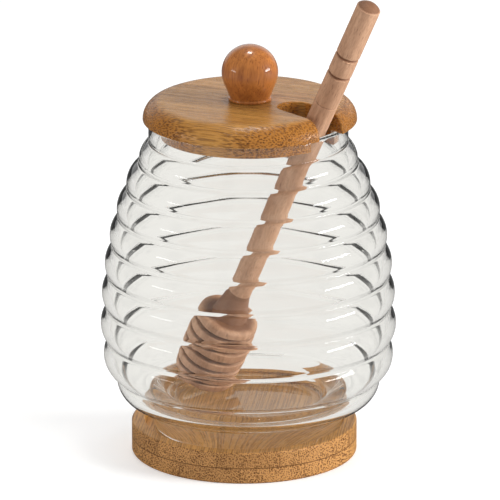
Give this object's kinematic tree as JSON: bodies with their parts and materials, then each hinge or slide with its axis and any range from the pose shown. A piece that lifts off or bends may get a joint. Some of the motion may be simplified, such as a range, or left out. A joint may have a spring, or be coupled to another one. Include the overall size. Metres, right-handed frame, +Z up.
{
  "type": "beehive honey jar with dipper",
  "caption": "Ribbed beehive-shaped clear glass honey pot in a round bamboo base, with a notched bamboo lid, a turned ball knob and a ridged wooden honey dipper leaning inside.",
  "frame": {"origin": "on the jar's axis, at the surface that the base stands on", "axes": "+Z up along the jar's axis; -Y is the front; the dipper's handle leans out to the right and the front"},
  "size_m": [0.0998, 0.0998, 0.1651],
  "materials": {
    "clear_glass": "clear, fire-polished",
    "base_bamboo": "oiled bamboo, satin",
    "lid_bamboo": "oiled bamboo, satin",
    "knob_wood": "clear gloss lacquer",
    "dipper_wood": "plain sanded beech"
  },
  "bodies": {
    "root": {"base": "base_bamboo", "jar": "clear_glass", "lid": "lid_bamboo", "knob": "knob_wood", "dipper": "dipper_wood"}
  },
  "joints": []
}
